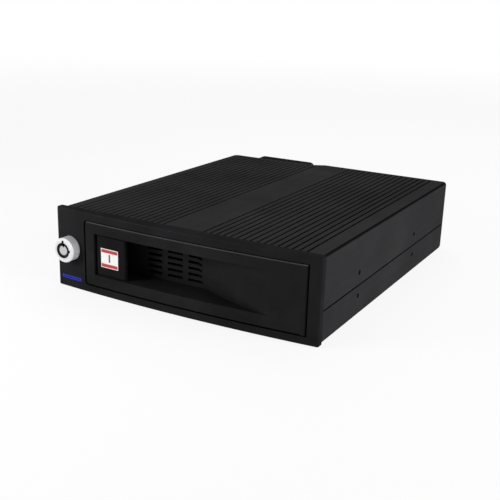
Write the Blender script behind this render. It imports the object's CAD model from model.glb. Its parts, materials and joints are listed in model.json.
import json
import logging
import math
from dataclasses import dataclass, field
from enum import IntEnum
from functools import reduce
from typing import Any, Callable, Iterable, Sequence

import bmesh
import bpy
from mathutils import Matrix, Vector
from mathutils.bvhtree import BVHTree


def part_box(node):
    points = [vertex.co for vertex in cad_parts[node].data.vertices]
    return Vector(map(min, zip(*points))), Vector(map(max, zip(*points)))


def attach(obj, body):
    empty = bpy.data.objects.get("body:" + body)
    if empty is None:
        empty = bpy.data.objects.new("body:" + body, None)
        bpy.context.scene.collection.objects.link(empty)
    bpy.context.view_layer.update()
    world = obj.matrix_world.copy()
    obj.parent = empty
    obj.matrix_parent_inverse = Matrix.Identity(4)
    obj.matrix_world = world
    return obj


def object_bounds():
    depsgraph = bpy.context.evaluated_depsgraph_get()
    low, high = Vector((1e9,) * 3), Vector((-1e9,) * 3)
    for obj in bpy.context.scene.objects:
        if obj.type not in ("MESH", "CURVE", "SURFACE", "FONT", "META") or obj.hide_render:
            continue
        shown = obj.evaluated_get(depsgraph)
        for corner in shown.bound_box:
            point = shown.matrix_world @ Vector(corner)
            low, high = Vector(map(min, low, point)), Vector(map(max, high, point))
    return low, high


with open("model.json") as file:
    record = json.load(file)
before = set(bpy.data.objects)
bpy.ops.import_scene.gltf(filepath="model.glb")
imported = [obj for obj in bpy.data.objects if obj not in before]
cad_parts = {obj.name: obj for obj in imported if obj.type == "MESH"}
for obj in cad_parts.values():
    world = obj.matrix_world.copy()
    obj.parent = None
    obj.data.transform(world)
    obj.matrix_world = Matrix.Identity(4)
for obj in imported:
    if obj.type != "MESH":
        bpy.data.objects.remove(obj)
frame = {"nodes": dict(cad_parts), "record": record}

"""Dresses the hot swap drive cage: finishes on every solid, and the fine pieces that sit on them.

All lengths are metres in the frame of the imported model: +X right, +Y to the rear, +Z up.
"""

LOG = logging.getLogger("drive_cage")
CAD_BOX = [list(corner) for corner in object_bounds()]
MM = 0.001
EVEN = (1.0, 1.0, 1.0)
WHITE = (1.0, 1.0, 1.0, 1.0)
ANODISED_BLACK = (0.016, 0.016, 0.017)
DOOR_CHAMFER = 0.5 * MM

Triple = tuple[float, float, float]
Inputs = dict[Any, Any]
Material = bpy.types.Material
Mesh = bmesh.types.BMesh
Place = Sequence[float]
Socket = bpy.types.NodeSocket


class Axis(IntEnum):
    """A coordinate's place in a vector."""

    X = 0
    Y = 1
    Z = 2


def middle(low: Place, high: Place) -> list[float]:
    """The point halfway between two corners."""
    return [(a + b) / 2 for a, b in zip(low, high)]


# ---------------------------------------------------------------- node kit
def maths(operation: str, swapped: bool = False) -> Callable[..., "Level"]:
    """Makes a Level method that adds one Math node.

    Args:
        operation: The Math node's operation.
        swapped: Whether the other value comes first.

    Returns:
        The method, which takes the other value, a Level or a number, and gives a Level.
    """
    def method(self: "Level", other: Any = 0.0) -> "Level":
        """Joins the value and another one.

        Args:
            other: The other value, a Level or a number.

        Returns:
            The result.
        """
        first, second = (other, self) if swapped else (self, other)
        node = self.nodes.add("ShaderNodeMath", {0: first, 1: second}, operation=operation)
        return Level(self.nodes, node.outputs[0])

    return method


class Level:
    """A number on a node socket, with operators that add Math nodes."""

    __add__ = maths("ADD")
    __sub__ = maths("SUBTRACT")
    __rsub__ = maths("SUBTRACT", swapped=True)
    __mul__ = maths("MULTIPLY")
    __truediv__ = maths("DIVIDE")
    __pow__ = maths("POWER")
    above = maths("GREATER_THAN")
    largest = maths("MAXIMUM")
    smallest = maths("MINIMUM")
    size = maths("ABSOLUTE")
    wrapped = maths("FLOORED_MODULO")

    def __init__(self, nodes: "Nodes", socket: Socket) -> None:
        """Wraps an output socket of a tree."""
        self.nodes = nodes
        self.socket = socket

    def ranged(self, low: float, high: float, to_low: float = 0.0, to_high: float = 1.0) -> "Level":
        """Maps one range onto another, clamped.

        Args:
            low: Start of the range read.
            high: End of the range read.
            to_low: Value given at the start.
            to_high: Value given at the end.

        Returns:
            The mapped value.
        """
        node = self.nodes.add("ShaderNodeMapRange", {
            "Value": self, "From Min": low, "From Max": high,
            "To Min": to_low, "To Max": to_high}, clamp=True)
        return Level(self.nodes, node.outputs[0])

    def spread(self, value: float, share: float = 0.15) -> "Level":
        """Turns noise into a value that varies by a share of itself.

        Args:
            value: The middle value.
            share: How far it varies either way.

        Returns:
            The varied value.
        """
        return self.ranged(0.3, 0.7, value * (1 - share), value * (1 + share))


class Nodes:
    """A node tree, filled through one method."""

    def __init__(self, tree: bpy.types.NodeTree) -> None:
        """Empties a tree to fill it.

        Args:
            tree: The node tree.
        """
        self.tree = tree
        tree.nodes.clear()

    def add(self, kind: str, inputs: Inputs | None = None, **settings: Any) -> bpy.types.Node:
        """Adds one node.

        Args:
            kind: The node's type name.
            inputs: Values, Levels or sockets, by the input's name or index.
            **settings: Attributes of the node, set before its inputs.

        Returns:
            The new node.
        """
        node = self.tree.nodes.new(kind)
        for key, value in settings.items():
            setattr(node, key, value)
        for key, value in (inputs or {}).items():
            source = value.socket if isinstance(value, Level) else value
            if isinstance(source, Socket):
                self.tree.links.new(source, node.inputs[key])
            else:
                node.inputs[key].default_value = source
        return node

    def mixed(self, share: Any, first: Socket, second: Socket) -> Socket:
        """Mixes two shaders by the second one's share."""
        return self.add("ShaderNodeMixShader", {0: share, 1: first, 2: second}).outputs[0]

    def seen(self) -> Level:
        """Tells the rays that see a surface from those that only light.

        Returns:
            One for camera, glossy and transmission rays, zero for the rest.
        """
        path = self.add("ShaderNodeLightPath")
        rays = ("Is Camera Ray", "Is Glossy Ray", "Is Transmission Ray")
        return reduce(Level.largest, [Level(self, path.outputs[name]) for name in rays])


class Graph(Nodes):
    """A material's node tree."""

    def __init__(self, name: str) -> None:
        """Makes an empty material.

        Args:
            name: The material's name.
        """
        self.material = bpy.data.materials.new(name)
        self.material.use_nodes = True
        super().__init__(self.material.node_tree)

    def axis(self, axis: Axis) -> Level:
        """One of the object's coordinates.

        Args:
            axis: Which one.

        Returns:
            The coordinate, in metres.
        """
        where = self.add("ShaderNodeTexCoord")
        parts = self.add("ShaderNodeSeparateXYZ", {0: where.outputs["Object"]})
        return Level(self, parts.outputs[axis])

    def noise(self, scale: float, detail: float, stretch: Place = EVEN) -> Level:
        """Smooth noise between 0 and 1.

        Args:
            scale: Cells per metre.
            detail: Number of finer layers.
            stretch: Factor on each axis.

        Returns:
            The noise value.
        """
        where = self.add("ShaderNodeTexCoord")
        mapping = self.add("ShaderNodeMapping", {
            "Vector": where.outputs["Object"], "Scale": tuple(stretch)})
        node = self.add("ShaderNodeTexNoise", {
            "Vector": mapping.outputs["Vector"], "Scale": scale, "Detail": detail,
            "Roughness": 0.55})
        return Level(self, node.outputs[0])

    def blend(self, factor: Any, first: Any, second: Any) -> Socket:
        """Mixes two colours.

        Args:
            factor: Share of the second colour.
            first: Triple at 0.
            second: Triple at 1.

        Returns:
            The mixed colour's socket.
        """
        return self.add("ShaderNodeMix", {0: factor, 6: first, 7: second},
                        data_type="RGBA").outputs[2]

    def bump(self, height: Level, depth: float) -> Socket:
        """A surface normal from a height.

        Args:
            height: The height value, 0 to 1.
            depth: Height of 1, in metres.

        Returns:
            The normal's socket.
        """
        return self.add("ShaderNodeBump", {
            "Height": height, "Distance": depth, "Strength": 1.0}).outputs[0]

    def principled(self, inputs: Inputs) -> Socket:
        """A Principled shader with these inputs."""
        return self.add("ShaderNodeBsdfPrincipled", inputs).outputs[0]

    def surfaced(self, shader: Socket) -> Material:
        """Ends the material in a shader."""
        self.add("ShaderNodeOutputMaterial", {"Surface": shader})
        return self.material

    def filmed(self, inputs: Inputs, film: Level) -> Material:
        """Ends the material in a matt shader under a faint, even film of gloss.

        Args:
            inputs: The matt shader's inputs; the film shares its roughness and normal.
            film: Share of light that the film reflects.

        Returns:
            The material.
        """
        matt = self.principled({"Specular IOR Level": 0.0, **inputs})
        gloss = self.principled({
            "Base Color": (0.9, 0.9, 0.9, 1.0), "Metallic": 1.0,
            "Roughness": inputs["Roughness"], "Normal": inputs["Normal"]})
        return self.surfaced(self.mixed(film, matt, gloss))


# ---------------------------------------------------------------- finishes
@dataclass(frozen=True)
class Envelope:
    """The outer faces of a piece: what lies inside all of them is sunk, and its finish darker."""

    half_width: float | None = None
    base: float | None = None
    top: float | None = None
    front: float | None = None
    bow_radius: float = 1.0
    window: tuple[float, float, float, float] | None = None
    start: float = 0.15 * MM
    end: float = 0.5 * MM
    inner: float = 1.85 * MM
    inner_fade: float = 0.2 * MM

    @classmethod
    def of_shells(cls) -> "Envelope":
        """The housing's outer size, for its grooves."""
        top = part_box("top_shell")[1]
        return cls(top[0], 0.0, top[2], start=0.04 * MM, end=0.36 * MM)

    @classmethod
    def of_front(cls, name: str) -> "Envelope":
        """The bowed front, from the bezel's own size.

        Args:
            name: The piece, "front_bezel" or "door_panel".

        Returns:
            Its envelope; the door's leaves out the finger recess.
        """
        low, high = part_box("front_bezel")
        rise = 3.2 * MM
        radius = (high[0] ** 2 + rise ** 2) / (2 * rise)
        if name == "front_bezel":
            return cls(high[0], low[2], high[2], low[1], radius)
        low_door, high_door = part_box(name)
        inset = 5.0 * MM
        window = (low_door[0] + inset, high_door[0] - 3 * inset,
                  low_door[2] + inset, high_door[2] - inset)
        start = 0.55 * MM
        return cls(front=low[1], bow_radius=radius, window=window, start=start, end=start * 1.5)

    def behind_front(self, graph: Graph) -> Level:
        """Distance behind the bowed front face, in metres."""
        across = graph.axis(Axis.X)
        return graph.axis(Axis.Y) - self.front - across * across * (0.5 / self.bow_radius)

    def sunk(self, graph: Graph) -> Level:
        """How far a point lies inside the outer faces.

        Args:
            graph: The material's graph.

        Returns:
            One in grooves, gaps and holes, zero on the outer faces, in the window and on
            inner walls.
        """
        distances = []
        if self.half_width is not None:
            distances.append(self.half_width - graph.axis(Axis.X).size())
        if self.base is not None:
            distances.append(graph.axis(Axis.Z) - self.base)
        if self.top is not None:
            distances.append(self.top - graph.axis(Axis.Z))
        if self.front is not None:
            distances.append(self.behind_front(graph))
        depth = reduce(Level.smallest, distances)
        shallow = depth.ranged(self.inner, self.inner + self.inner_fade, 1.0, 0.0)
        sunk = depth.ranged(self.start, self.end) * shallow
        if self.window is not None:
            left, right, low, high = self.window
            x, z = graph.axis(Axis.X), graph.axis(Axis.Z)
            inside_x = x.above(left) * (1 - x.above(right))
            inside_z = z.above(low) * (1 - z.above(high))
            sunk = sunk * (1 - inside_x * inside_z)
        return sunk


@dataclass(frozen=True)
class Finish:
    """What every finish has: a name and a base colour."""

    name: str
    colour: Triple

    def tone(self, scale: float = 1.0, lift: float = 0.0) -> tuple[float, ...]:
        """The base colour made lighter or darker.

        Args:
            scale: Factor on each channel.
            lift: Added to each channel.

        Returns:
            The colour with an alpha of 1.
        """
        return (*(min(1.0, channel * scale + lift) for channel in self.colour), 1.0)

    def make(self) -> Material:
        """Builds the material, each finish in its own way."""
        raise NotImplementedError


@dataclass(frozen=True)
class Moulding(Finish):
    """Moulded plastic with a fine spark-eroded grain."""

    roughness: float = 0.42
    grain_scale: float = 3800.0
    grain_depth: float = 0.03 * MM
    patch_scale: float = 38.0
    film: float = 0.003
    envelope: Envelope | None = None
    shade: float = 0.85
    rubbed_above: float | None = None
    rubbed_film: float = 0.06

    def make(self) -> Material:
        """Builds the material.

        Returns:
            The material.
        """
        graph = Graph(self.name)
        grain, broad = graph.noise(self.grain_scale, 2.0), graph.noise(self.patch_scale, 3.0)
        colour = graph.blend(broad.ranged(0.35, 0.75, 0.0, 0.7),
                             self.tone(), self.tone(1.5, 0.003))
        rough = broad.ranged(0.3, 0.7, self.roughness - 0.05, self.roughness + 0.06) + grain * 0.04
        film = broad.spread(self.film)
        if self.envelope is not None:
            sunk = self.envelope.sunk(graph) * self.shade
            colour = graph.blend(sunk, colour, self.tone(0.1))
            film = film * (1 - sunk)
            if self.rubbed_above is not None:
                start = self.envelope.start
                near = self.envelope.behind_front(graph).ranged(start * 0.9, start, 1.0, 0.0)
                edge = graph.axis(Axis.Z).above(self.rubbed_above)
                film = film + edge * near * self.rubbed_film
        return graph.filmed({"Base Color": colour, "Roughness": rough,
                             "Normal": graph.bump(grain, self.grain_depth)}, film)


@dataclass(frozen=True)
class Anodised(Finish):
    """Black anodised aluminium with faint die lines along the extrusion."""

    envelope: Envelope
    roughness: float = 0.45
    film: float = 0.007
    line_scale: float = 900.0
    line_depth: float = 0.01 * MM
    pit_scale: float = 5200.0
    patch_scale: float = 24.0
    shade: float = 0.9

    def make(self) -> Material:
        """Builds the material.

        Returns:
            The material.
        """
        graph = Graph(self.name)
        lines = graph.noise(self.line_scale, 2.0, (1.0, 0.012, 1.0))
        pits, broad = graph.noise(self.pit_scale, 1.0), graph.noise(self.patch_scale, 3.0)
        cloud = (lines * 0.3 + broad * 0.7).ranged(0.35, 0.72, 0.05, 0.55)
        sunk = self.envelope.sunk(graph) * self.shade
        colour = graph.blend(cloud, self.tone(), self.tone(1.6, 0.004))
        colour = graph.blend(sunk, colour, self.tone(0.12))
        rough = lines * 0.12 + broad * 0.1 + (self.roughness - 0.11)
        normal = graph.bump(lines * 0.6 + pits * 0.4, self.line_depth)
        return graph.filmed({"Base Color": colour, "Roughness": rough, "Normal": normal},
                            broad.spread(self.film) * (1 - sunk))


@dataclass(frozen=True)
class PowderCoat(Finish):
    """Powder-coated sheet with an orange-peel surface."""

    roughness: float = 0.5
    film: float = 0.012
    peel_scale: float = 1500.0
    peel_depth: float = 0.04 * MM
    patch_scale: float = 30.0

    def make(self) -> Material:
        """Builds the material.

        Returns:
            The material.
        """
        graph = Graph(self.name)
        peel, broad = graph.noise(self.peel_scale, 2.0), graph.noise(self.patch_scale, 3.0)
        colour = graph.blend(broad.ranged(0.35, 0.7), self.tone(), self.tone(1.5, 0.003))
        rough = broad.ranged(0.3, 0.7, self.roughness - 0.05, self.roughness + 0.07)
        return graph.filmed({"Base Color": colour, "Roughness": rough,
                             "Normal": graph.bump(peel, self.peel_depth)},
                            broad.spread(self.film))


@dataclass(frozen=True)
class PlatedSteel(Finish):
    """Plated steel with a rolled or turned grain along one axis."""

    roughness: float = 0.32
    grain: Triple = (1.0, 0.03, 1.0)
    grain_scale: float = 1400.0
    grain_depth: float = 0.01 * MM
    stain_scale: float = 60.0

    def make(self) -> Material:
        """Builds the material.

        Returns:
            The material.
        """
        graph = Graph(self.name)
        lines = graph.noise(self.grain_scale, 3.0, self.grain)
        stain = graph.noise(self.stain_scale, 4.0)
        colour = graph.blend(stain.ranged(0.42, 0.75, 0.0, 0.7), self.tone(), self.tone(0.72))
        return graph.surfaced(graph.principled({
            "Base Color": colour,
            "Roughness": lines * 0.14 + stain * 0.14 + (self.roughness - 0.14),
            "Metallic": stain.ranged(0.5, 0.9, 1.0, 0.94),
            "Normal": graph.bump(lines, self.grain_depth)}))


@dataclass(frozen=True)
class LockChrome(Finish):
    """Chrome: polished on the face, satin down the side, dark round and inside the keyway."""

    bevel: float = 0.3 * MM
    keyway: float = 3.0 * MM
    band: float = 0.65 * MM
    mark_scale: float = 700.0
    haze_scale: float = 160.0
    roughness: float = 0.12
    satin: float = 0.62
    plug: tuple[float, ...] = (0.56, 0.56, 0.57, 1.0)
    dark: tuple[float, ...] = (0.02, 0.02, 0.02, 1.0)

    def make(self) -> Material:
        """Builds the material.

        Returns:
            The material.
        """
        graph = Graph(self.name)
        marks, haze = graph.noise(self.mark_scale, 5.0), graph.noise(self.haze_scale, 3.0)
        low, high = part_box("lock_barrel")
        centre, radius = middle(low, high), (high[0] - low[0]) / 2
        across, up = (graph.axis(axis) - centre[axis] for axis in (Axis.X, Axis.Z))
        reach = (across * across + up * up) ** 0.5
        outside = reach.above(radius * 0.95)
        behind = (graph.axis(Axis.Y) - (low[1] + self.bevel)).ranged(0.15 * MM, 0.45 * MM)
        rim = reach.ranged(radius * 0.55, radius * 0.85)
        ring = reach.above(self.keyway - self.band) * (1 - reach.above(self.keyway + 0.1 * MM))
        colour = graph.blend(haze.ranged(0.45, 0.75, 0.0, 0.6), self.tone(), self.tone(0.86))
        colour = graph.blend(rim, self.plug, colour)
        colour = graph.blend(ring * 0.92, colour, self.dark)
        colour = graph.blend(behind * (1 - outside) * 0.95, colour, self.dark)
        rough = marks.ranged(0.5, 0.75, self.roughness, self.roughness + 0.12)
        shared = {"Base Color": colour, "Normal": graph.bump(marks, 0.004 * MM)}
        polished = graph.principled({"Metallic": 1.0, "Roughness": rough, **shared})
        satin = graph.principled({"Metallic": 0.0, "Roughness": rough + 0.2, **shared})
        share = behind * outside * self.satin + 0.1
        return graph.surfaced(graph.mixed(share, polished, satin))


@dataclass(frozen=True)
class LightPipe(Finish):
    """A blue light pipe, deep blue along its middle and paler along its border."""

    border: Triple
    glow: float = 0.6
    cloud_scale: float = 900.0

    def make(self) -> Material:
        """Builds the material.

        Returns:
            The material.
        """
        graph = Graph(self.name)
        low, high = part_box("light_bar")
        centre = middle(low, high)
        along, across = (((graph.axis(axis) - centre[axis]) / (high[axis] - centre[axis])).size()
                         for axis in (Axis.X, Axis.Z))
        edge = along.ranged(0.86, 0.97).largest(across.ranged(0.2, 0.42))
        cloud = graph.noise(self.cloud_scale, 2.0).ranged(0.3, 0.7, 0.8, 1.0)
        colour = graph.blend(edge, graph.blend(cloud, self.tone(0.6), self.tone()),
                             (*self.border, 1.0))
        return graph.surfaced(graph.principled({
            "Base Color": colour, "Emission Color": colour, "Emission Strength": self.glow,
            "Roughness": 0.25, "Specular IOR Level": 0.1}))


@dataclass(frozen=True)
class SolderMask(Finish):
    """A circuit board: solder mask over copper tracks."""

    track_pitch: float = 1.6 * MM
    track_depth: float = 0.04 * MM
    patch_scale: float = 85.0

    def make(self) -> Material:
        """Builds the material.

        Returns:
            The material.
        """
        graph = Graph(self.name)
        column_pitch = self.track_pitch * 2.6
        row = graph.axis(Axis.Z).wrapped(self.track_pitch) / self.track_pitch
        column = graph.axis(Axis.X).wrapped(column_pitch) / column_pitch
        patch = graph.noise(self.patch_scale, 1.0)
        upper = patch.above(0.5)
        copper = row.above(0.62) * upper + column.above(0.8) * (1 - upper)
        colour = graph.blend(copper, self.tone(), self.tone(1.9, 0.02))
        return graph.surfaced(graph.principled({
            "Base Color": colour, "Roughness": patch.ranged(0.3, 0.7, 0.28, 0.36),
            "Coat Roughness": 0.15, "Normal": graph.bump(copper, self.track_depth)}))


@dataclass(frozen=True)
class Ink(Finish):
    """Printed vinyl: even colour with a faint print screen and scuffs."""

    roughness: float = 0.38
    scuff_scale: float = 420.0
    scuff_depth: float = 0.01 * MM

    def make(self) -> Material:
        """Builds the material.

        Returns:
            The material.
        """
        graph = Graph(self.name)
        scuff = graph.noise(self.scuff_scale, 4.0)
        colour = graph.blend(scuff.ranged(0.55, 0.8, 0.0, 0.8), self.tone(), self.tone(0.82))
        return graph.surfaced(graph.principled({
            "Base Color": colour,
            "Roughness": scuff.ranged(0.3, 0.8, self.roughness, self.roughness + 0.15),
            "Normal": graph.bump(scuff, self.scuff_depth)}))


# ---------------------------------------------------------------- mesh kit
def linked(name: str, data: Any) -> bpy.types.Object:
    """A new object at the origin, linked to the scene.

    Args:
        name: The object's name.
        data: Its mesh, curve, lamp or camera.

    Returns:
        The object.
    """
    made = bpy.data.objects.new(name, data)
    bpy.context.scene.collection.objects.link(made)
    return made


def from_bmesh(name: str, mesh: Mesh, material: Material) -> bpy.types.Object:
    """Turns a bmesh into a finished object at the origin.

    Args:
        name: The piece's name.
        mesh: The geometry, freed afterwards.
        material: The piece's material.

    Returns:
        The new object, linked to the scene.
    """
    bmesh.ops.remove_doubles(mesh, verts=mesh.verts, dist=1e-7)
    bmesh.ops.recalc_face_normals(mesh, faces=mesh.faces)
    data = bpy.data.meshes.new(name)
    mesh.to_mesh(data)
    mesh.free()
    data.materials.append(material)
    return linked(name, data)


def add_block(mesh: Mesh, low: Place, high: Place, bevel: float) -> None:
    """Adds a block between two corners, with its edges bevelled.

    Args:
        mesh: The bmesh that gains the block.
        low: Lowest corner.
        high: Highest corner.
        bevel: Width of the bevel.
    """
    size = [b - a for a, b in zip(low, high)]
    matrix = Matrix.Translation(middle(low, high)) @ Matrix.Diagonal((*size, 1.0))
    made = bmesh.ops.create_cube(mesh, size=1.0, matrix=matrix)
    edges = {edge for vert in made["verts"] for edge in vert.link_edges}
    bmesh.ops.bevel(mesh, geom=list(edges), offset=bevel, segments=2, affect="EDGES", profile=0.5)


def add_ring(mesh: Mesh, centre: Place, radius: float, wire: float) -> None:
    """Adds a thin ring whose axis is X.

    Args:
        mesh: The bmesh that gains the ring.
        centre: The ring's centre.
        radius: Radius to the wire's middle.
        wire: The wire's diameter.
    """
    matrix = Matrix.Translation(Vector(centre) + Vector((0, radius, 0)))
    verts = bmesh.ops.create_circle(mesh, segments=6, radius=wire / 2, matrix=matrix)["verts"]
    edges = {edge for vert in verts for edge in vert.link_edges}
    bmesh.ops.spin(mesh, geom=[*verts, *edges], cent=centre, axis=(1, 0, 0), steps=24,
                   angle=2 * math.pi, use_merge=True)


def smooth(piece: bpy.types.Object) -> bpy.types.Object:
    """Shades a piece smooth, except across edges sharper than 35 degrees.

    Args:
        piece: The piece.

    Returns:
        The same piece.
    """
    mesh = bmesh.new()
    mesh.from_mesh(piece.data)
    limit = math.radians(35.0)
    for edge in mesh.edges:
        edge.smooth = len(edge.link_faces) == 2 and edge.calc_face_angle(0.0) < limit
    for face in mesh.faces:
        face.smooth = True
    mesh.to_mesh(piece.data)
    mesh.free()
    return piece


class Surface:
    """Finds points on a solid's front, so that thin pieces follow it."""

    def __init__(self, node: str) -> None:
        """Reads a solid's mesh.

        Args:
            node: The solid's node.
        """
        mesh = bmesh.new()
        mesh.from_mesh(frame["nodes"][node].data)
        self.tree = BVHTree.FromBMesh(mesh)
        mesh.free()

    def front(self, x: float, z: float) -> float:
        """The Y of the first point met from the front at (x, z)."""
        return self.tree.ray_cast(Vector((x, -1.0, z)), Vector((0, 1, 0)))[0].y


def dress(nodes: Iterable[str], material: Material) -> None:
    """Gives solids their finish.

    Args:
        nodes: Node names.
        material: The finish.
    """
    for name in nodes:
        piece = frame["nodes"][name]
        if not piece.material_slots:
            piece.data.materials.append(material)
        for slot in piece.material_slots:
            slot.material = material
        LOG.info("finish %s on %s", material.name, name)


def seat(piece: bpy.types.Object, body: str) -> None:
    """Puts a finished piece on its body.

    Args:
        piece: The finished piece.
        body: The body that it moves with.
    """
    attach(piece, body)
    LOG.info("piece %s on %s", piece.name, body)


# ---------------------------------------------------------------- geometry nodes
class Pattern(Nodes):
    """A Geometry Nodes tree that repeats one small block in a row, over a face or in a ring."""

    def __init__(self, name: str) -> None:
        """Starts the tree.

        Args:
            name: The tree's name, and its piece's.
        """
        super().__init__(bpy.data.node_groups.new(name, "GeometryNodeTree"))
        self.name = name
        for way in ("INPUT", "OUTPUT"):
            self.tree.interface.new_socket("Geometry", in_out=way,
                                           socket_type="NodeSocketGeometry")
        self.entry = self.add("NodeGroupInput")
        self.values: dict[str, Any] = {}

    def named(self, name: str, kind: str, value: Any) -> Socket:
        """Adds a named input.

        Args:
            name: The input's name.
            kind: The socket's type, "Int", "Float" or "Vector".
            value: Its value for this piece.

        Returns:
            The socket to link from.
        """
        self.tree.interface.new_socket(name, in_out="INPUT", socket_type="NodeSocket" + kind)
        self.values[name] = value
        return self.entry.outputs[name]

    def _block(self, size: Place) -> Socket:
        """One block at the origin.

        Args:
            size: Its size.

        Returns:
            The block's socket.
        """
        base = self.add("GeometryNodeMeshCube", {"Size": EVEN})
        scale = self.named("Item Size", "Vector", tuple(size))
        return self.add("GeometryNodeTransform", {
            "Geometry": base.outputs[0], "Scale": scale}).outputs[0]

    def _on_points(self, points: bpy.types.Node, item: Socket, **more: Socket) -> Socket:
        """Instances of an item on points."""
        return self.add("GeometryNodeInstanceOnPoints", {
            "Points": points.outputs[0], "Instance": item, **more}).outputs[0]

    def along(self, start: Place, step: Place, count: int, size: Place) -> Socket:
        """Blocks along a straight line.

        Args:
            start: Place of the first.
            step: From one to the next.
            count: How many.
            size: Size of each.

        Returns:
            The instances' socket.
        """
        line = self.add("GeometryNodeMeshLine", {
            "Count": self.named("Count", "Int", count),
            "Start Location": self.named("Start", "Vector", tuple(start)),
            "Offset": self.named("Step", "Vector", tuple(step))}, mode="OFFSET")
        return self._on_points(line, self._block(size))

    def scattered(self, low: Place, high: Place, density: float, seed: int,
                  size: Place) -> Socket:
        """Blocks strewn over an upright rectangle.

        Args:
            low: Lowest corner of the rectangle.
            high: Highest corner.
            density: Blocks per square metre, before the spacing rule.
            seed: Fixed seed.
            size: Size of each.

        Returns:
            The instances' socket.
        """
        grid = self.add("GeometryNodeMeshGrid", {
            "Size X": high[0] - low[0], "Size Y": high[2] - low[2],
            "Vertices X": 2, "Vertices Y": 2})
        upright = self.add("GeometryNodeTransform", {
            "Geometry": grid.outputs[0], "Rotation": (math.radians(90), 0, 0),
            "Translation": middle(low, high)})
        points = self.add("GeometryNodeDistributePointsOnFaces", {
            "Mesh": upright.outputs[0],
            "Distance Min": self.named("Spacing", "Float", max(size) * 1.8),
            "Density Max": self.named("Density", "Float", density),
            "Seed": self.named("Seed", "Int", seed)}, distribute_method="POISSON")
        return self._on_points(points, self._block(size))

    def round_ring(self, centre: Place, radius: float, count: int, size: Place,
                   phase: float) -> Socket:
        """Blocks round a circle whose axis is Y, each turned to face outwards.

        Args:
            centre: The circle's centre.
            radius: Its radius.
            count: How many.
            size: Size of each: along the circle, along Y, outwards.
            phase: Angle of the first, in radians.

        Returns:
            The instances' socket.
        """
        line = self.add("GeometryNodeMeshLine", {
            "Count": self.named("Count", "Int", count), "Offset": (0.0, 0.0, 0.0)},
            mode="OFFSET")
        index = Level(self, self.add("GeometryNodeInputIndex").outputs[0])
        angle = index * (2 * math.pi / count) + self.named("Phase", "Float", phase)
        rotation = self.add("ShaderNodeCombineXYZ", {Axis.Y: angle})
        lifted = self.add("GeometryNodeTransform", {
            "Geometry": self._block(size), "Translation": (0.0, 0.0, radius)})
        made = self._on_points(line, lifted.outputs[0], Rotation=rotation.outputs[0])
        return self.add("GeometryNodeTransform", {
            "Geometry": made,
            "Translation": self.named("Centre", "Vector", tuple(centre))}).outputs[0]

    def piece(self, geometry: Socket, material: Material) -> bpy.types.Object:
        """Ends the tree and turns its result into a plain mesh.

        Args:
            geometry: The instances.
            material: The pieces' material.

        Returns:
            A plain mesh object at the origin.
        """
        real = self.add("GeometryNodeRealizeInstances", {"Geometry": geometry})
        painted = self.add("GeometryNodeSetMaterial", {
            "Geometry": real.outputs[0], "Material": material})
        self.add("NodeGroupOutput", {0: painted.outputs[0]})
        holder = linked(self.name + "_holder", bpy.data.meshes.new(self.name + "_holder"))
        modifier = holder.modifiers.new("Pattern", "NODES")
        modifier.node_group = self.tree
        identifiers = {item.name: item.identifier for item in self.tree.interface.items_tree
                       if item.in_out == "INPUT"}
        for name, value in self.values.items():
            modifier[identifiers[name]] = value
        holder.update_tag()
        depsgraph = bpy.context.evaluated_depsgraph_get()
        data = bpy.data.meshes.new_from_object(holder.evaluated_get(depsgraph))
        holder.modifiers.clear()
        bpy.data.objects.remove(holder)
        data.name = self.name
        if not data.materials:
            data.materials.append(material)
        return linked(self.name, data)


# ---------------------------------------------------------------- studio
@dataclass(frozen=True)
class Lamp:
    """A soft square lamp."""

    name: str
    place: Triple
    side: float
    watts: float


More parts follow.
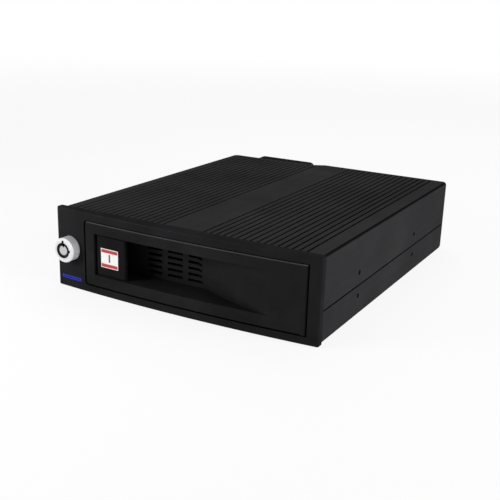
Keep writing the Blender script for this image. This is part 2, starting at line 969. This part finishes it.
@dataclass
class Studio:
    """A pale floor in white surroundings, three soft lamps and the camera."""

    floor_side: float = 60.0
    floor_drop: float = 0.1 * MM
    fade_reach: tuple[float, float] = (0.3, 1.4)
    fade_share: tuple[float, float] = (0.85, 1.0)
    world_strength: float = 0.24
    target: Triple = (0.0, 0.0, 0.02)
    lamps: tuple[Lamp, ...] = (
        Lamp("Lamp_over", (-0.1, 0.35, 0.55), 0.5, 1.4),
        Lamp("Lamp_right", (0.9, -0.02, 0.32), 0.55, 9.0),
        Lamp("Lamp_left", (-0.27, -0.36, 0.16), 0.2, 1.3),
    )
    camera_place: Triple = (0.21023, -0.402035, 0.15104)
    azimuth: float = 28.898
    elevation: float = 17.504
    roll: float = 1.835
    lens: float = 60.28

    def world(self) -> None:
        """White where it is seen, a plain grey light where it only lights."""
        world = bpy.data.worlds.new("Surroundings")
        bpy.context.scene.world = world
        world.use_nodes = True
        nodes = Nodes(world.node_tree)
        light, seen = [nodes.add("ShaderNodeBackground", {"Color": WHITE, "Strength": strength})
                       for strength in (self.world_strength, 1.0)]
        mixed = nodes.mixed(nodes.seen(), light.outputs[0], seen.outputs[0])
        nodes.add("ShaderNodeOutputWorld", {"Surface": mixed})

    def floor(self) -> None:
        """A pale floor that keeps the object's shadow and melts into the surroundings."""
        mesh = bmesh.new()
        bmesh.ops.create_grid(mesh, x_segments=1, y_segments=1, size=self.floor_side / 2)
        graph = Graph("Floor_pale")
        matt = graph.add("ShaderNodeBsdfDiffuse", {"Color": (0.9, 0.9, 0.9, 1.0)})
        glow = graph.add("ShaderNodeEmission", {"Strength": 1.0})
        where = graph.add("ShaderNodeTexCoord")
        away = graph.add("ShaderNodeVectorMath", {0: where.outputs["Object"]}, operation="LENGTH")
        fade = Level(graph, away.outputs["Value"]).ranged(*self.fade_reach, *self.fade_share)
        mixed = graph.mixed(graph.seen() * fade, matt.outputs[0], glow.outputs[0])
        floor = from_bmesh("Floor", mesh, graph.surfaced(mixed))
        floor.location.z = CAD_BOX[0][2] - self.floor_drop

    def light(self) -> None:
        """The lamps, aimed at the object."""
        for lamp in self.lamps:
            data = bpy.data.lights.new(lamp.name, "AREA")
            data.shape = "SQUARE"
            data.size = lamp.side
            data.energy = lamp.watts
            holder = linked(lamp.name, data)
            holder.location = lamp.place
            aim = Vector(self.target) - Vector(lamp.place)
            holder.rotation_euler = aim.to_track_quat("-Z", "Y").to_euler()

    def camera(self) -> None:
        """The camera at the viewing angle, with its slight roll."""
        data = bpy.data.cameras.new("Camera")
        data.lens = self.lens
        data.sensor_width = 36.0
        data.clip_start = 0.01
        angles = (self.azimuth, self.elevation, self.roll)
        turn, lift, roll = [math.radians(angle) for angle in angles]
        camera = linked("Camera", data)
        camera.matrix_world = (Matrix.Translation(self.camera_place)
                               @ Matrix.Rotation(turn, 4, "Z")
                               @ Matrix.Rotation(math.pi / 2 - lift, 4, "X")
                               @ Matrix.Rotation(roll, 4, "Z"))
        bpy.context.scene.camera = camera

    def build(self) -> None:
        """Sets up the whole studio."""
        self.world()
        self.floor()
        self.light()
        self.camera()
        bpy.context.scene.view_settings.view_transform = "Standard"
        LOG.info("studio ready")


# ---------------------------------------------------------------- palette
def lazily(kind: type[Finish], *values: Any, **more: Any) -> Any:
    """A palette entry, whose material is made together with the palette.

    Args:
        kind: The finish's class.
        *values: Its name, its base colour and what else it asks for.
        **more: Its other values.

    Returns:
        The dataclass field.
    """
    return field(default_factory=kind(*values, **more).make)


@dataclass(frozen=True)
class Palette:
    """Every finish of the cage, made once and shared."""

    bezel: Material = lazily(Moulding, "Bezel_black_abs", (0.0095, 0.0095, 0.0103),
                             envelope=Envelope.of_front("front_bezel"))
    door: Material = lazily(Moulding, "Door_black_abs", (0.0103, 0.0103, 0.0107),
                            roughness=0.31, grain_depth=0.02 * MM,
                            envelope=Envelope.of_front("door_panel"),
                            rubbed_above=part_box("door_panel")[1][2] - DOOR_CHAMFER)
    grip: Material = lazily(Moulding, "Grip_black_abs", (0.0072, 0.0072, 0.0076),
                            roughness=0.38, envelope=Envelope.of_front("door_panel"))
    roof: Material = lazily(Anodised, "Housing_top_anodised", ANODISED_BLACK,
                            Envelope.of_shells())
    floor: Material = lazily(Anodised, "Housing_bottom_anodised", ANODISED_BLACK,
                             Envelope.of_shells())
    sheet: Material = lazily(PowderCoat, "Rear_sheet_black", (0.014, 0.014, 0.015))
    zinc: Material = lazily(PlatedSteel, "Zinc_steel", (0.55, 0.56, 0.58))
    bent: Material = lazily(PlatedSteel, "Zinc_sheet", (0.48, 0.49, 0.51), roughness=0.4,
                            grain=(1.0, 0.02, 1.0))
    black_screw: Material = lazily(PlatedSteel, "Black_steel", (0.035, 0.035, 0.038),
                                   roughness=0.35, grain=EVEN)
    chrome: Material = lazily(LockChrome, "Lock_chrome", (0.86, 0.86, 0.88))
    brass: Material = lazily(PlatedSteel, "Lock_brass", (0.72, 0.56, 0.26), roughness=0.3,
                             grain=EVEN)
    board: Material = lazily(SolderMask, "Board_green", (0.006, 0.075, 0.028))
    black_part: Material = lazily(Moulding, "Connector_black", (0.012, 0.012, 0.012),
                                  roughness=0.5)
    white_part: Material = lazily(Moulding, "Connector_white", (0.62, 0.6, 0.53),
                                  roughness=0.45, grain_depth=0.01 * MM)
    gold: Material = lazily(PlatedSteel, "Contact_gold", (0.83, 0.62, 0.24), roughness=0.22,
                            grain=EVEN)
    tin: Material = lazily(PlatedSteel, "Pin_tin", (0.66, 0.66, 0.67), roughness=0.25,
                           grain=(1.0, 0.05, 1.0))
    fan: Material = lazily(Moulding, "Fan_black_pbt", (0.014, 0.014, 0.014), roughness=0.46)
    copper: Material = lazily(PlatedSteel, "Winding_copper", (0.62, 0.26, 0.11),
                              roughness=0.3, grain=(0.03, 1.0, 1.0))
    core: Material = lazily(PlatedSteel, "Core_laminations", (0.3, 0.3, 0.31),
                            roughness=0.45, grain=(0.04, 1.0, 0.04), grain_scale=5200.0)
    white_ink: Material = lazily(Ink, "Ink_white", (0.78, 0.78, 0.76))
    red_ink: Material = lazily(Ink, "Ink_red", (0.42, 0.02, 0.018))
    black_ink: Material = lazily(Ink, "Ink_black", (0.014, 0.014, 0.014))
    chip: Material = lazily(Moulding, "Chip_epoxy", (0.022, 0.022, 0.024), roughness=0.55,
                            grain_depth=0.01 * MM)
    ceramic: Material = lazily(Moulding, "Capacitor_ceramic", (0.42, 0.3, 0.17),
                               roughness=0.5, grain_depth=0.01 * MM)
    blue_light: Material = lazily(LightPipe, "Light_blue", (0.003, 0.005, 0.26),
                                  (0.02, 0.024, 0.13))


# ---------------------------------------------------------------- sub-assemblies
@dataclass
class Housing:
    """The two extruded shells, the rear sheet and the threads of the mounting holes."""

    palette: Palette
    thread_pitch: float = 0.5 * MM
    thread_wire: float = 0.16 * MM
    thread_turns: int = 3
    thread_lead: float = 0.6

    def _threads(self) -> None:
        """Fine rings inside the eight mounting holes that read as their threads."""
        mesh = bmesh.new()
        halves = (-0.5, 0.5)
        for mount in frame["record"]["mounts"]:
            if mount["kind"] != "bolt_pattern":
                continue
            sizes, place, side = mount["dims"], mount["pos_m"], mount["axis"][0]
            for along, up in [(along, up) for along in halves for up in halves]:
                y = place[1] + along * sizes["spacing_x_mm"] * MM
                z = place[2] + up * sizes["spacing_y_mm"] * MM
                for turn in range(self.thread_turns):
                    x = place[0] - side * self.thread_pitch * (turn + self.thread_lead)
                    add_ring(mesh, (x, y, z), sizes["hole_r_mm"] * MM, self.thread_wire)
        seat(smooth(from_bmesh("mount_threads", mesh, self.palette.roof)), "cage")

    def build(self) -> None:
        """Finishes the housing."""
        dress(("top_shell",), self.palette.roof)
        dress(("bottom_shell",), self.palette.floor)
        dress(("rear_panel",), self.palette.sheet)
        dress(("panel_screws", "bezel_screws", "spacer_screws"), self.palette.black_screw)
        self._threads()


@dataclass
class FrontFrame:
    """The bezel with its light bar and the lamp on the small board behind it."""

    palette: Palette
    lamp_size: Triple = (2.0 * MM, 0.6 * MM, 1.2 * MM)
    resistor_share: float = 0.6
    spacing: float = 3.2 * MM
    bevel: float = 0.08 * MM

    def _lamp(self) -> None:
        """The surface-mounted lamp and its two resistors on the light board."""
        low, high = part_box("light_board")
        middle_x, middle_z = middle(low, high)[0], middle(*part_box("light_bar"))[2]
        _, depth, height = self.lamp_size
        mesh = bmesh.new()
        for place, share in ((-1, self.resistor_share), (0, 1.0), (1, self.resistor_share)):
            x = middle_x + place * self.spacing
            half = self.lamp_size[0] / 2 * share
            add_block(mesh, (x - half, high[1], middle_z - height / 2),
                      (x + half, high[1] + depth, middle_z + height / 2), self.bevel)
        seat(from_bmesh("light_board_parts", mesh, self.palette.ceramic), "cage")

    def build(self) -> None:
        """Finishes the front frame."""
        dress(("front_bezel",), self.palette.bezel)
        dress(("light_bar",), self.palette.blue_light)
        dress(("light_board",), self.palette.board)
        dress(("hinge_pin",), self.palette.black_screw)
        self._lamp()


@dataclass
class BayBadge:
    """The plain bay number on the grip plate: a plate with two red bands and a figure."""

    palette: Palette
    right_inset: float = 4.4 * MM
    drop: float = 0.95 * MM
    width: float = 10.8 * MM
    height: float = 9.8 * MM
    margin: float = 0.35 * MM
    band: float = 1.7 * MM
    thickness: float = 0.18 * MM
    relief: float = 0.05 * MM
    overlap: float = 0.02 * MM
    steps: int = 8
    figure: str = "1"
    figure_size: float = 5.6 * MM
    figure_weight: float = 0.1 * MM
    figure_lift: float = 0.04 * MM

    def _corner(self) -> tuple[float, float]:
        """Places the badge, from the grip plate's own box.

        Returns:
            The (x, z) of its lower left corner.
        """
        low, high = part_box("grip_latch")
        left = high[0] - self.right_inset - self.width
        return left, middle(low, high)[2] - self.drop - self.height / 2

    def _wrapped(self, name: str, low: Place, high: Place, lift: float, surface: Surface,
                 material: Material) -> None:
        """A thin plate between two (x, z) corners that follows the grip plate's bow.

        Args:
            name: The piece's name.
            low: Lower left corner.
            high: Upper right corner.
            lift: How far its outer face stands off the grip plate.
            surface: The grip plate's surface.
            material: The piece's finish.
        """
        mesh = bmesh.new()
        columns = []
        for index in range(self.steps + 1):
            x = low[0] + (high[0] - low[0]) * index / self.steps
            y = surface.front(x, (low[1] + high[1]) / 2)
            columns.append([mesh.verts.new((x, y + shift, z))
                            for shift in (self.overlap, -lift) for z in (low[1], high[1])])
        for first, second in zip(columns, columns[1:]):
            for a, b in ((2, 3), (1, 0), (3, 1), (0, 2)):
                mesh.faces.new((first[a], second[a], second[b], first[b]))
        for column in (columns[0], columns[-1]):
            mesh.faces.new([column[corner] for corner in (0, 2, 3, 1)])
        seat(from_bmesh(name, mesh, material), "latch")

    def _number(self, x: float, z: float, surface: Surface) -> None:
        """The raised figure.

        Args:
            x: Its middle, across.
            z: Its middle, up.
            surface: The grip plate's surface.
        """
        curve = bpy.data.curves.new("bay_number", "FONT")
        curve.body = self.figure
        curve.size = self.figure_size
        curve.align_x = curve.align_y = "CENTER"
        curve.extrude = self.relief
        curve.offset = self.figure_weight
        holder = linked("bay_number_curve", curve)
        data = bpy.data.meshes.new_from_object(holder)
        bpy.data.objects.remove(holder)
        y = surface.front(x, z) - self.thickness - self.figure_lift
        data.transform(Matrix.Translation((x, y, z))
                       @ Matrix.Rotation(math.radians(90), 4, "X"))
        data.name = "bay_number"
        data.materials.clear()
        data.materials.append(self.palette.black_ink)
        seat(linked("bay_number", data), "latch")

    def build(self) -> None:
        """Lays the plate, its bands and its figure on the grip plate."""
        surface = Surface("grip_latch")
        left, base = self._corner()
        right, top = left + self.width, base + self.height
        self._wrapped("badge_plate", (left, base), (right, top), self.thickness, surface,
                      self.palette.white_ink)
        for name, low in (("badge_band_upper", top - self.band - self.margin),
                          ("badge_band_lower", base + self.margin)):
            self._wrapped(name, (left + self.margin, low), (right - self.margin, low + self.band),
                          self.thickness + self.relief, surface, self.palette.red_ink)
        self._number(left + self.width / 2, base + self.height / 2, surface)


@dataclass
class Door:
    """The door with its recess and the sliding grip plate."""

    palette: Palette

    def build(self) -> None:
        """Finishes the door and the grip."""
        dress(("door_panel",), self.palette.door)
        dress(("grip_latch",), self.palette.grip)
        BayBadge(self.palette).build()


@dataclass
class KeyLock:
    """The round key lock with its cam, nut and tumbler pins."""

    palette: Palette
    pin_count: int = 7
    pin_side: float = 0.544 * MM
    pin_length: float = 2.0 * MM
    pin_depth: float = 2.4 * MM
    pin_circle: float = 3.45 * MM
    pin_phase: float = 0.45

    def build(self) -> None:
        """Finishes the lock and sets its tumbler pins in the keyway."""
        dress(("lock_barrel", "lock_plug"), self.palette.chrome)
        dress(("lock_nut", "lock_cam", "cam_screw"), self.palette.zinc)
        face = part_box("lock_plug")[0][1]
        x, _, z = middle(*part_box("lock_barrel"))
        centre = (x, face + self.pin_depth, z)
        pattern = Pattern("tumbler_pins")
        ring = pattern.round_ring(centre, self.pin_circle, self.pin_count,
                                  (self.pin_side, self.pin_length, self.pin_side), self.pin_phase)
        seat(pattern.piece(ring, self.palette.black_screw), "lock")


@dataclass
class Fan:
    """The fan: frame, blades, core with its windings, and the screws."""

    palette: Palette
    poles: int = 4
    turns: int = 9
    wire: float = 0.42 * MM
    clear_front: float = 0.8 * MM
    clear_ends: float = 1.2 * MM
    sunk: float = 0.1 * MM
    length_share: float = 0.9

    def _windings(self) -> None:
        """Copper wires across each pole, side by side along the core's depth."""
        low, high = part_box("fan_stator")
        x, _, z = middle(low, high)
        radius = (high[0] - low[0]) / 2
        pitch = (high[1] - low[1] - self.clear_ends) / self.turns
        across = Matrix.Rotation(math.radians(90), 4, "Y")
        coils = bmesh.new()
        for pole in range(self.poles):
            turned = (Matrix.Translation((x, 0, z))
                      @ Matrix.Rotation(2 * math.pi * (pole + 0.5) / self.poles, 4, "Y"))
            for turn in range(self.turns):
                y = low[1] + self.clear_front + pitch * (turn + 0.5)
                bmesh.ops.create_cone(
                    coils, cap_ends=True, segments=8, radius1=self.wire / 2,
                    radius2=self.wire / 2, depth=radius * self.length_share,
                    matrix=turned @ Matrix.Translation((0, y, radius - self.sunk)) @ across)
        seat(smooth(from_bmesh("fan_windings", coils, self.palette.copper)), "cage")

    def build(self) -> None:
        """Finishes the fan."""
        dress(("fan_frame", "fan_rotor"), self.palette.fan)
        dress(("fan_stator",), self.palette.core)
        dress(("fan_screws",), self.palette.black_screw)
        self._windings()


@dataclass
class DriveBay:
    """The guide rails, the screws and spacers, and the ejector."""

    palette: Palette

    def build(self) -> None:
        """Finishes the inside of the bay."""
        dress(("drive_rail_left", "drive_rail_right", "ejector_bar"), self.palette.bent)
        dress(("rail_screws", "board_bolts"), self.palette.zinc)
        dress(("board_spacers",), self.palette.brass)


@dataclass
class Backplane:
    """The board between the drive and the rear ports, with its contacts and parts.

    Each chip is given by its distance from the board's left edge and top edge, and half its width.
    """

    palette: Palette
    data_contacts: int = 7
    power_contacts: int = 15
    contact_pitch: float = 1.27 * MM
    contact_size: Triple = (0.55 * MM, 7.2 * MM, 0.5 * MM)
    contact_depth: float = 4.0 * MM
    contact_rise: float = 0.8 * MM
    slot_split: float = 0.36
    slot_insets: tuple[float, float] = (3.4 * MM, 2.4 * MM)
    blade_size: Triple = (0.5 * MM, 4.4 * MM, 0.14 * MM)
    blade_start: float = 3.4
    blade_inset: float = 3.2 * MM
    blade_drop: float = 0.66 * MM
    chips: tuple[Triple, ...] = ((16 * MM, 8 * MM, 5 * MM), (44 * MM, 7 * MM, 4 * MM))
    chip_shape: float = 0.7
    chip_height: float = 1.1 * MM
    chip_sunk: float = 0.02 * MM
    chip_bevel: float = 0.15 * MM
    leg_pitch: float = 1.0 * MM
    leg_size: Triple = (0.35 * MM, 0.26 * MM, 0.8 * MM)
    leg_inset: float = 0.8 * MM
    leg_reach: float = 0.3 * MM
    leg_rise: float = 0.12 * MM
    capacitor_size: Triple = (1.6 * MM, 0.7 * MM, 0.8 * MM)
    capacitor_rise: float = 0.3 * MM
    capacitor_margins: tuple[Place, Place] = ((7 * MM, 13 * MM), (9 * MM, 13.5 * MM))
    capacitor_density: float = 40000.0
    seed: int = 11

    def _row(self, name: str, start: Place, pitch: float, count: int, size: Place,
             material: Material) -> None:
        """A row of contacts or legs along X.

        Args:
            name: The piece's name.
            start: Place of the first.
            pitch: From one to the next.
            count: How many.
            size: Size of each.
            material: Their finish.
        """
        pattern = Pattern(name)
        line = pattern.along(start, (pitch, 0, 0), count, size)
        seat(pattern.piece(line, material), "cage")

    def _contacts(self) -> None:
        """Gold contacts in the two slots of the drive connector, and on the data port's blade."""
        low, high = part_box("drive_plug")
        y, z = low[1] + self.contact_depth, middle(low, high)[2] + self.contact_rise
        slots = (low[0], low[0] + (high[0] - low[0]) * self.slot_split)
        for name, count, slot, inset in zip(("data_contacts", "power_contacts"),
                                            (self.data_contacts, self.power_contacts),
                                            slots, self.slot_insets):
            self._row(name, (slot + inset, y, z), self.contact_pitch, count, self.contact_size,
                      self.palette.gold)
        low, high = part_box("data_port")
        x, _, z = middle(low, high)
        blade = (x - self.contact_pitch * self.blade_start, high[1] - self.blade_inset,
                 z - self.blade_drop)
        self._row("data_port_contacts", blade, self.contact_pitch, self.data_contacts,
                  self.blade_size, self.palette.gold)

    def _chips(self) -> None:
        """Two chips with their legs, and a scatter of capacitors, on the board's front."""
        low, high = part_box("backplane_board")
        face = low[1]
        places = [(low[0] + x, high[2] - z, side) for x, z, side in self.chips]
        mesh = bmesh.new()
        for x, z, side in places:
            rise = side * self.chip_shape
            add_block(mesh, (x - side, face - self.chip_height, z - rise),
                      (x + side, face + self.chip_sunk, z + rise), self.chip_bevel)
        seat(from_bmesh("board_chips", mesh, self.palette.chip), "cage")
        for index, (x, z, side) in enumerate(places, start=1):
            reach = side * self.chip_shape + self.leg_reach
            count = int(side / MM * 2 - 1)
            for edge, sign in (("upper", 1), ("lower", -1)):
                start = (x - side + self.leg_inset, face - self.leg_rise, z + sign * reach)
                self._row(f"chip_{index}_legs_{edge}", start, self.leg_pitch, count,
                          self.leg_size, self.palette.tin)
        y = face - self.capacitor_rise
        (left, bottom), (right, top) = self.capacitor_margins
        pattern = Pattern("board_capacitors")
        strewn = pattern.scattered(
            (low[0] + left, y, low[2] + bottom), (high[0] - right, y, high[2] - top),
            self.capacitor_density, self.seed, self.capacitor_size)
        seat(pattern.piece(strewn, self.palette.ceramic), "cage")

    def build(self) -> None:
        """Finishes the board and its connectors."""
        dress(("backplane_board",), self.palette.board)
        dress(("drive_plug", "data_port"), self.palette.black_part)
        dress(("power_port",), self.palette.white_part)
        dress(("power_pins",), self.palette.tin)
        self._contacts()
        self._chips()


def main() -> None:
    """Builds the studio and every sub-assembly, and notes the model's box before and after."""
    logging.basicConfig(level=logging.INFO, format="%(name)s: %(message)s")
    Studio().build()
    palette = Palette()
    for part in (Housing, FrontFrame, Door, KeyLock, Fan, DriveBay, Backplane):
        part(palette).build()
        LOG.info("%s done", part.__name__)
    bare = [name for name, piece in frame["nodes"].items() if not piece.material_slots]
    LOG.info("nodes without a finish: %s", bare)


if __name__ == "__main__":
    main()
